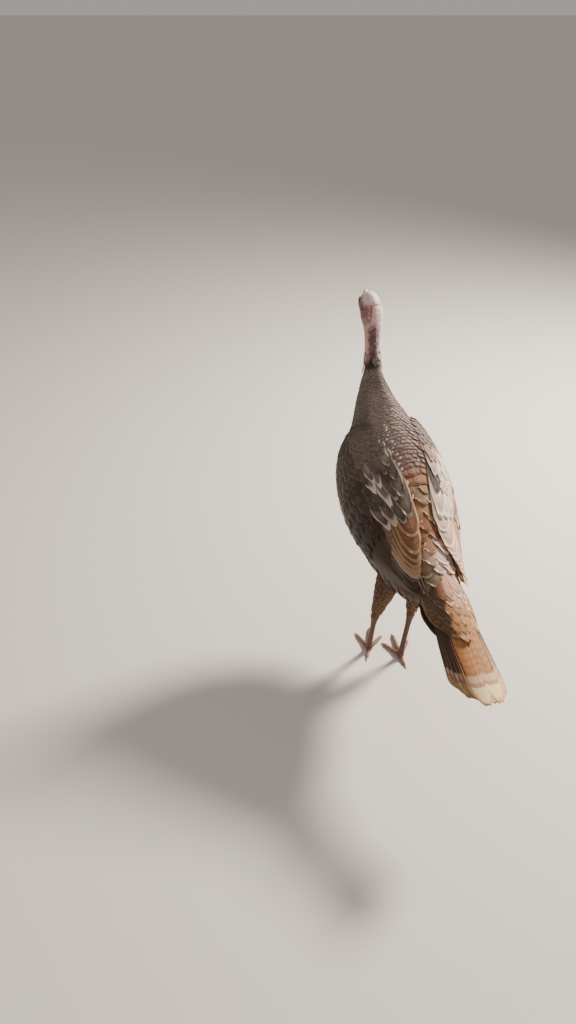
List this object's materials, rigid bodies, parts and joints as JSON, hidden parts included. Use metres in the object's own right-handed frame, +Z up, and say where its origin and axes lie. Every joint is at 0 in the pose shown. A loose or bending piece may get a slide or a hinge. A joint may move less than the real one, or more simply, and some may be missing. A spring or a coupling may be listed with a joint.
{
  "type": "domestic turkey",
  "caption": "Life-size still model of a grey-brown domestic turkey hen, walking with her neck up and her tail closed.",
  "frame": {"origin": "on the floor, at the bottom centre of the bird's bounding box", "axes": "+Z up, the hen faces -Y, and +X is her left side"},
  "size_m": [0.22, 0.6532, 0.7345],
  "materials": {
    "plumage": "overlapping grey-brown body feathers with pale edges",
    "wing_coverts": "slate-brown wing coverts with pale edges",
    "flight_feathers": "long wing and rump feathers, grey, rufous and white",
    "tail_feathers": "pinkish brown tail feathers with fine bars and cream tips",
    "bare_skin": "bare pink to mauve skin, wrinkled, with small warts",
    "bill": "horn",
    "eye": "wet, dark brown iris with a black pupil",
    "leg_scales": "pinkish brown scales",
    "claw": "pale horn"
  },
  "bodies": {
    "root": {"trunk": "plumage", "neck_lower": "plumage", "neck_upper": "bare_skin", "head": "bare_skin", "bill_upper": "bill", "bill_lower": "bill", "eye_left": "eye", "eye_right": "eye", "snood": "bare_skin", "dewlap": "bare_skin", "claw_left_hind": "claw", "claw_left_inner": "claw", "claw_left_middle": "claw", "claw_left_outer": "claw", "claw_right_hind": "claw", "claw_right_inner": "claw", "claw_right_middle": "claw", "claw_right_outer": "claw", "foot_left": "leg_scales", "foot_right": "leg_scales", "shank_left": "leg_scales", "shank_right": "leg_scales", "tail": "tail_feathers", "tail_coverts_under": "plumage", "tail_coverts_upper": "flight_feathers", "thigh_left": "plumage", "thigh_right": "plumage", "wing_left_coverts": "wing_coverts", "wing_left_primaries": "flight_feathers", "wing_left_secondaries": "flight_feathers", "wing_right_coverts": "wing_coverts", "wing_right_primaries": "flight_feathers", "wing_right_secondaries": "flight_feathers"}
  },
  "joints": []
}
